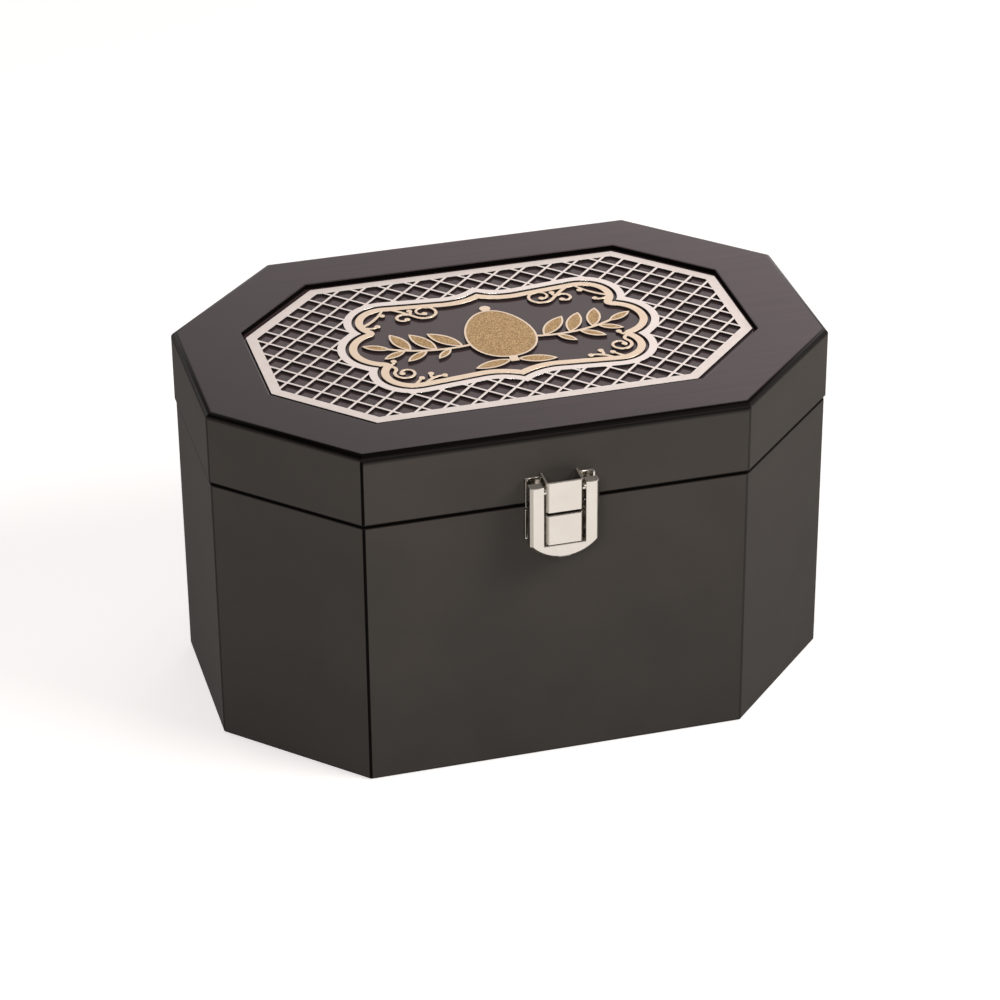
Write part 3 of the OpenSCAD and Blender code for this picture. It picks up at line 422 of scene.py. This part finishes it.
def laser_cut(name, face, rubbed_face, roughness, node, border, buffed):
    """Satin sheet with burnt walls. Inside the border of the node, buffed is its roughness."""
    material, tree = blank_material(name)
    spot = add(tree, "ShaderNodeTexCoord")
    facing = add(tree, "ShaderNodeSeparateXYZ", {0: (spot, "Normal")})
    is_face = add(tree, "ShaderNodeMath", {0: (facing, "Z"), 1: WALL_TILT}, operation="GREATER_THAN")
    rub = add(tree, "ShaderNodeTexNoise", {"Vector": (spot, "Object"), "Scale": 1 / RUB_MARK, "Detail": 5})
    tone = add(tree, "ShaderNodeMix", {
        0: (rub, 0), 6: linear(face), 7: linear(rubbed_face)}, data_type="RGBA")
    colour = add(tree, "ShaderNodeMix", {
        0: (is_face, 0), 6: linear("#100C0A"), 7: (tone, 2)}, data_type="RGBA")
    gloss = add(tree, "ShaderNodeMapRange", {
        "Value": (rub, 0), "To Min": roughness - 0.05, "To Max": roughness + 0.08})
    inside = within_border(tree, spot, node, border)
    gloss = add(tree, "ShaderNodeMix", {0: (inside, 0), 2: (gloss, 0), 3: buffed})
    gloss = add(tree, "ShaderNodeMix", {0: (is_face, 0), 2: WALL_ROUGHNESS, 3: (gloss, 0)})
    grain = add(tree, "ShaderNodeTexNoise", {"Vector": (spot, "Object"), "Scale": 1 / SHEET_GRAIN})
    bump = add(tree, "ShaderNodeBump", {"Height": (grain, 0), "Strength": 0.08, "Distance": 0.05 * MM})
    shader = add(tree, "ShaderNodeBsdfPrincipled", {
        "Base Color": (colour, 2), "Metallic": (is_face, 0), "Roughness": (gloss, 0), "Normal": (bump, 0)})
    add(tree, "ShaderNodeOutputMaterial", {"Surface": (shader, 0)})
    return material


silver_face = laser_cut(
    "silver_faced_sheet", "#F9F2EB", "#F0E8E0", 0.36, "trellis_plate", border=3 * MM, buffed=0.18)
gold_face = laser_cut(
    "gold_faced_sheet", "#FDEED8", "#F8E1C4", 0.36, "cartouche_frame", border=2 * MM, buffed=0.36)
print("made", silver_face.name, "and", gold_face.name)

# %% [markdown]
# ## Glitter
# The inlay is gold glitter in clear resin. Real flakes are about 0.1 mm across, far less than a pixel of
# the picture, so they are drawn at 0.25 mm. Each cell of a Voronoi pattern is one flake, with its own colour
# and its own tilt, so some catch the light and others stay dark.


# %% Gold glitter
FLAKE = 0.25 * MM
FLAKE_TILT = 0.25


def gold_glitter():
    material, tree = blank_material("gold_glitter")
    spot = add(tree, "ShaderNodeTexCoord")
    flakes = add(tree, "ShaderNodeTexVoronoi", {"Vector": (spot, "Object"), "Scale": 1 / FLAKE})
    lot = add(tree, "ShaderNodeSeparateColor", {0: (flakes, "Color")})
    tone = add(tree, "ShaderNodeMix", {
        0: (lot, 0), 6: linear("#9A774A"), 7: linear("#D9B983")}, data_type="RGBA")
    tilt = add(tree, "ShaderNodeVectorMath", {
        0: (flakes, "Color"), 1: (0.5, 0.5, 0.5)}, operation="SUBTRACT")
    tilt = add(tree, "ShaderNodeVectorMath", {0: (tilt, 0), "Scale": FLAKE_TILT}, operation="SCALE")
    straight = add(tree, "ShaderNodeNewGeometry")
    lean = add(tree, "ShaderNodeVectorMath", {0: (straight, "Normal"), 1: (tilt, 0)}, operation="ADD")
    lean = add(tree, "ShaderNodeVectorMath", {0: (lean, 0)}, operation="NORMALIZE")
    shader = add(tree, "ShaderNodeBsdfPrincipled", {
        "Base Color": (tone, 2), "Normal": (lean, 0), "Metallic": 0.7, "Roughness": 0.4})
    add(tree, "ShaderNodeOutputMaterial", {"Surface": (shader, 0)})
    return material


glitter = gold_glitter()
print("made", glitter.name, "with flakes of", FLAKE / MM, "mm")

# %% [markdown]
# ## Nickel
# The hasp and the hinges are pressed and cast metal with a bright nickel plate, polished on a wheel. The
# plate is nearly a mirror; handling dulls it in soft patches some millimetres across. The cut ends that
# face up or down look grey, as where the wheel doesn't reach, so they are matt here. The slanting bevels of
# the lever are painted a little darker, as a painted dark reflection.


# %% Bright nickel
TOUCH = 5 * MM
END_TILT, END_ROUGHNESS = 0.7, 0.55
BEVEL_SLANT = 0.25


def bright_nickel():
    material, tree = blank_material("bright_nickel")
    spot = add(tree, "ShaderNodeTexCoord")
    touch = add(tree, "ShaderNodeTexNoise", {"Vector": (spot, "Object"), "Scale": 1 / TOUCH, "Detail": 4})
    tone = add(tree, "ShaderNodeMix", {
        0: (touch, 0), 6: linear("#D2CDC5"), 7: linear("#C6C0B9")}, data_type="RGBA")
    gloss = add(tree, "ShaderNodeMapRange", {"Value": (touch, 0), "To Min": 0.1, "To Max": 0.24})
    facing = add(tree, "ShaderNodeSeparateXYZ", {0: (spot, "Normal")})
    up = add(tree, "ShaderNodeMath", {0: (facing, "Z")}, operation="ABSOLUTE")
    cut_end = add(tree, "ShaderNodeMath", {0: (up, 0), 1: END_TILT}, operation="GREATER_THAN")
    gloss = add(tree, "ShaderNodeMix", {0: (cut_end, 0), 2: (gloss, 0), 3: END_ROUGHNESS})
    slant = add(tree, "ShaderNodeMath", {0: (facing, "X"), 1: (facing, "Y")}, operation="MULTIPLY")
    slant = add(tree, "ShaderNodeMath", {0: (slant, 0)}, operation="ABSOLUTE")
    # Painted dark reflection: the slanting bevels are a little darker.
    bevel = add(tree, "ShaderNodeMath", {0: (slant, 0), 1: BEVEL_SLANT}, operation="GREATER_THAN")
    tone = add(tree, "ShaderNodeMix", {0: (bevel, 0), 6: (tone, 2), 7: linear("#A8A29A")}, data_type="RGBA")
    shader = add(tree, "ShaderNodeBsdfPrincipled", {
        "Base Color": (tone, 2), "Roughness": (gloss, 0), "Metallic": 1.0})
    add(tree, "ShaderNodeOutputMaterial", {"Surface": (shader, 0)})
    return material


nickel = bright_nickel()
print("made", nickel.name)

# %% [markdown]
# ## Dressing the CAD pieces
# The CAD meshes stay as they are. Modifiers weld their split vertices, shade the rounded edges smoothly
# and give thin metal a tiny bevel, because an edge without one never catches the light. The weighted
# normals keep large flats flat next to small curves.


# %% Weld and smooth
WELD_REACH = 0.001 * MM
CREASE = math.radians(25)


def weld_and_smooth():
    group = bpy.data.node_groups.new("weld_and_smooth", "GeometryNodeTree")
    for way_through in ("INPUT", "OUTPUT"):
        group.interface.new_socket("Geometry", in_out=way_through, socket_type="NodeSocketGeometry")
    start = add(group, "NodeGroupInput")
    welded = add(group, "GeometryNodeMergeByDistance", {"Geometry": (start, 0), "Distance": WELD_REACH})
    smooth = add(group, "GeometryNodeSetShadeSmooth", {"Geometry": (welded, 0)}, domain="FACE")
    bend = add(group, "GeometryNodeInputMeshEdgeAngle")
    sharp = add(group, "FunctionNodeCompare", {
        0: (bend, "Unsigned Angle"), 1: CREASE}, operation="GREATER_THAN")
    creased = add(group, "GeometryNodeSetShadeSmooth", {
        "Geometry": (smooth, 0), "Selection": (sharp, 0), "Shade Smooth": False}, domain="EDGE")
    add(group, "NodeGroupOutput", {0: (creased, 0)})
    return group


WELD = weld_and_smooth()
print("made", WELD.name, "with creases above", round(math.degrees(CREASE)), "degrees")

# %% Dress
FLAT_BEND, BEVEL_BEND = math.radians(0.5), math.radians(35)


def dress(names, material, bevel=0.0):
    """Gives CAD nodes their finish, smooth shading and, for thin metal, a bevel of this width."""
    for name in names:
        piece = nodes[name]
        piece.data.materials.clear()
        piece.data.materials.append(material)
        piece.modifiers.new("weld", "NODES").node_group = WELD
        if bevel:
            flat = piece.modifiers.new("flat", "DECIMATE")
            flat.decimate_type, flat.angle_limit = "DISSOLVE", FLAT_BEND
            edge = piece.modifiers.new("edge", "BEVEL")
            edge.width, edge.segments = bevel, 2
            edge.limit_method, edge.angle_limit = "ANGLE", BEVEL_BEND
            edge.use_clamp_overlap = False
        even = piece.modifiers.new("even", "WEIGHTED_NORMAL")
        even.keep_sharp, even.weight = True, 100
    print(material.name, "on", len(names), "nodes")


print("bevels where faces meet at more than", round(math.degrees(BEVEL_BEND)), "degrees")

# %% [markdown]
# The record of the CAD model says which material each node has. The sprig's pointed leaves and the small
# lugs of the hinges are too fine for a bevel, which would fold over itself there, so they go without one.

# %% Finishes of the rigid pieces
slot_of = {part["node"]: part["material_slot"] for part in frame["record"]["subparts"]}


def nodes_in(slot):
    return sorted(name for name in slot_of if slot_of[name] == slot)


hinge_pieces = [name for name in nodes_in("nickel") if "hinge" in name]
hasp_pieces = [name for name in nodes_in("nickel") if name not in hinge_pieces]
dress(nodes_in("painted_wood"), lacquer)
dress(nodes_in("silver_sheet"), silver_face, bevel=0.05 * MM)
dress(["cartouche_frame"], gold_face, bevel=0.08 * MM)
dress(["sprig_frame"], gold_face)
dress(nodes_in("gold_glitter"), glitter)
dress(hasp_pieces, nickel, bevel=0.12 * MM)
dress(hinge_pieces, nickel)

# %% [markdown]
# ## Velvet
# The inside is covered with short-pile velvet, a woven cloth whose cut threads stand up and throw light
# back at their tips. That gives a dark face and a pale rim, which the sheen of the shader does, and
# patches where the pile was stroked the other way. Real threads stand about 0.1 mm apart. They are drawn
# at 0.5 mm, so that they show.


# %% Velvet pile
PATCH, THREAD = 14 * MM, 0.5 * MM


def velvet_pile():
    material, tree = blank_material("velvet_pile")
    spot = add(tree, "ShaderNodeTexCoord")
    patch = add(tree, "ShaderNodeTexNoise", {"Vector": (spot, "Object"), "Scale": 1 / PATCH, "Detail": 3})
    tone = add(tree, "ShaderNodeMix", {
        0: (patch, 0), 6: linear("#3B0E17"), 7: linear("#5E1A27")}, data_type="RGBA")
    pile = add(tree, "ShaderNodeTexNoise", {"Vector": (spot, "Object"), "Scale": 1 / THREAD, "Detail": 3})
    speck = add(tree, "ShaderNodeMapRange", {"Value": (pile, 0), "To Min": 0.75, "To Max": 1.25})
    colour = add(tree, "ShaderNodeVectorMath", {0: (tone, 2), "Scale": (speck, 0)}, operation="SCALE")
    bump = add(tree, "ShaderNodeBump", {"Height": (pile, 0), "Strength": 0.5, "Distance": 0.25 * MM})
    shader = add(tree, "ShaderNodeBsdfPrincipled", {
        "Base Color": (colour, 0), "Normal": (bump, 0), "Roughness": 0.9, "IOR": 1.45,
        "Sheen Weight": 0.6, "Sheen Roughness": 0.35, "Sheen Tint": linear("#C97F88")})
    add(tree, "ShaderNodeOutputMaterial", {"Surface": (shader, 0)})
    return material


velvet = velvet_pile()
print("made", velvet.name)

# %% [markdown]
# ## Cushion
# The fruit lies in an egg-shaped nest in a thick foam cushion with a velvet cover. Foam under tight cloth
# swells between its seams, so the CAD solid is remeshed evenly and blown up a little by the cloth solver.
# The foot is held, the swelling is capped, and no point leaves the well that the boards form.


# %% Remesh
def settle(piece):
    """Turns what the modifiers make into the piece's own mesh."""
    made = bpy.data.meshes.new_from_object(piece.evaluated_get(bpy.context.evaluated_depsgraph_get()))
    piece.modifiers.clear()
    piece.data = made


def soft_copy(node, name, voxel):
    """A new object with an even mesh in the shape of a CAD node."""
    shape = bmesh.new()
    shape.from_mesh(nodes[node].data)
    bmesh.ops.remove_doubles(shape, verts=shape.verts, dist=WELD_REACH)
    mesh = bpy.data.meshes.new(name)
    shape.to_mesh(mesh)
    shape.free()
    piece = bpy.data.objects.new(name, mesh)
    scene.collection.objects.link(piece)
    even = piece.modifiers.new("even", "REMESH")
    even.mode, even.voxel_size = "VOXEL", voxel
    settle(piece)
    return piece


cushion_low, cushion_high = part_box("fruit_cushion")
cushion = soft_copy("fruit_cushion", "velvet_cushion", 2.6 * MM)
cushion_rest = [v.co.copy() for v in cushion.data.vertices]
print("cushion of", len(cushion_rest), "points, from", [round(c / MM, 1) for c in cushion_low])

# %% Swell
CUSHION_FOOT, CUSHION_CAP = 20 * MM, 1.6 * MM


def swell(piece, held, cap, pressure=4.0, steps=20):
    """Blows the piece up with the cloth solver. Points for which held() is true stay."""
    start = [v.co.copy() for v in piece.data.vertices]
    pins = piece.vertex_groups.new(name="held")
    pins.add([i for i, co in enumerate(start) if held(co)], 1.0, "REPLACE")
    cloth = piece.modifiers.new("cloth", "CLOTH")
    cloth.settings.vertex_group_mass = "held"
    cloth.settings.use_pressure = True
    cloth.settings.uniform_pressure_force = pressure
    cloth.settings.effector_weights.gravity = 0
    cloth.point_cache.frame_end = steps
    for step in range(1, steps + 1):
        scene.frame_set(step)
    settle(piece)
    for vertex, rest in zip(piece.data.vertices, start):
        move = vertex.co - rest
        if move.length > cap:
            vertex.co = rest + move * (cap / move.length)
    piece.vertex_groups.clear()
    scene.frame_set(1)


swell(cushion, lambda co: co.z < cushion_low.z + CUSHION_FOOT, cap=CUSHION_CAP)
print("cushion swollen by up to", CUSHION_CAP / MM, "mm above its foot")

# %% [markdown]
# The cover is one piece of cloth, pulled down into the nest and tucked in along the walls. It gathers into
# fine folds that run over the lip of the nest. A wave round the egg's long outline, strongest at the lip,
# moves each point of the cushion a few tenths of a millimetre.


# %% Folds over the lip
NEST_HALF = Vector((48, 34)) * MM
FOLDS, FOLD_HEIGHT, FOLD_REACH = 34, 0.55 * MM, 11 * MM
WANDER, WANDER_SCALE = 2.4, 9 * MM


def fold_height(co):
    """Height of the folds at a point, from its distance to the nest's lip. Depth counts half."""
    across = math.hypot(co.x / NEST_HALF.x, co.y / NEST_HALF.y)
    lip = abs(across - 1) * NEST_HALF.y + 0.5 * max(cushion_high.z - co.z, 0)
    round_lip = math.atan2(co.y / NEST_HALF.y, co.x / NEST_HALF.x)
    wave = math.sin(FOLDS * round_lip + WANDER * noise.noise(co / WANDER_SCALE))
    return FOLD_HEIGHT * wave * math.exp(-(lip / FOLD_REACH) ** 2)


for vertex, rest in zip(cushion.data.vertices, cushion_rest):
    vertex.co.z += fold_height(rest)
print("cushion with", FOLDS, "folds")


# %% Cover in velvet
def keep_inside(piece, reach):
    """Moves points that swelled past the eight sides back onto them."""
    for vertex in piece.data.vertices:
        for side in range(8):
            out = Vector((math.cos(side * math.pi / 4), math.sin(side * math.pi / 4), 0))
            over = vertex.co.dot(out) - reach[side % 4]
            if over > 0:
                vertex.co -= out * over


def finish_velvet(piece, node, body):
    """Smooths a soft piece, covers it in velvet and puts it in the place of its CAD node."""
    for face in piece.data.polygons:
        face.use_smooth = True
    piece.modifiers.new("round", "SUBSURF").render_levels = 1
    piece.data.materials.append(velvet)
    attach(piece, body)
    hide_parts(node)
    print(piece.name, "covered, on the", body)


keep_inside(cushion, octagon_reach("fruit_cushion"))
finish_velvet(cushion, "fruit_cushion", "case")

# %% [markdown]
# ## Lid pad
# Under the lid lies a thin pad of the same velvet. It is swollen like the cushion, from a slightly thinner
# start, and stays in the space that CAD gives it.

# %% Pad
PAD_START = 0.6
PAD_GLUED, PAD_CAP = 0.3 * MM, 1.5 * MM

pad_low, pad_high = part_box("lid_pad")
pad = soft_copy("lid_pad", "velvet_lid_pad", 1.8 * MM)
for vertex in pad.data.vertices:
    vertex.co.z = pad_high.z - (pad_high.z - vertex.co.z) * PAD_START
swell(pad, lambda co: co.z > pad_high.z - PAD_GLUED, cap=PAD_CAP)
for vertex in pad.data.vertices:
    vertex.co.z = min(max(vertex.co.z, pad_low.z), pad_high.z)
keep_inside(pad, octagon_reach("lid_pad"))
finish_velvet(pad, "lid_pad", "lid")
print("lid pad of", len(pad.data.vertices), "points")

# %% [markdown]
# ## Wall lining
# The inside of the boards is covered by velvet wrapped round thin card. Seen from above, its top edge is a
# small round hem. A profile with that hem is swept round the octagon, with the corners softened.

# %% Path and profile of the lining
LINING_THICKNESS = 1.0 * MM
HEM_R = LINING_THICKNESS / 2
CORNER_R = 1.2 * MM
CORNER_STEPS, HEM_STEPS, WALL_STEPS = 5, 8, 12

lining_low, lining_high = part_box("wall_lining")
hem_z = lining_high.z - HEM_R


def octagon_path(inset):
    """Points round the lining's octagon, moved in by inset, with rounded corners."""
    reach = octagon_reach("wall_lining") * 2
    points = []
    for side in range(8):
        a, b = side * math.pi / 4, (side + 1) * math.pi / 4
        near = reach[side] - inset - CORNER_R
        far = reach[(side + 1) % 8] - inset - CORNER_R
        out, along = Vector((math.cos(a), math.sin(a))), Vector((-math.sin(a), math.cos(a)))
        centre = out * near + along * ((far - near * math.cos(b - a)) / math.sin(b - a))
        for step in range(CORNER_STEPS + 1):
            turn_to = a + (b - a) * step / CORNER_STEPS
            points.append(centre + Vector((math.cos(turn_to), math.sin(turn_to))) * CORNER_R)
    return points


def lining_profile():
    """Pairs of inset and height: up the back, over the hem and down the face."""
    profile = [(0.0, lining_low.z), (0.0, hem_z)]
    for step in range(1, HEM_STEPS):
        t = math.pi * step / HEM_STEPS
        profile.append((HEM_R - HEM_R * math.cos(t), hem_z + HEM_R * math.sin(t)))
    for step in range(WALL_STEPS + 1):
        profile.append((LINING_THICKNESS, lining_low.z + (hem_z - lining_low.z) * (1 - step / WALL_STEPS)))
    return profile


profile = lining_profile()
rings = [octagon_path(inset) for inset, z in profile]

# %% Lining
count = len(rings[0])
points = [(p.x, p.y, z) for ring, (inset, z) in zip(rings, profile) for p in ring]
faces = []
for ring in range(len(rings)):
    here, above = ring * count, (ring + 1) % len(rings) * count
    for i in range(count):
        beside = (i + 1) % count
        faces.append((here + i, here + beside, above + beside, above + i))
lining_mesh = bpy.data.meshes.new("velvet_wall_lining")
lining_mesh.from_pydata(points, [], faces)
lining = bpy.data.objects.new("velvet_wall_lining", lining_mesh)
scene.collection.objects.link(lining)
finish_velvet(lining, "wall_lining", "case")
print("lining of", len(faces), "faces")
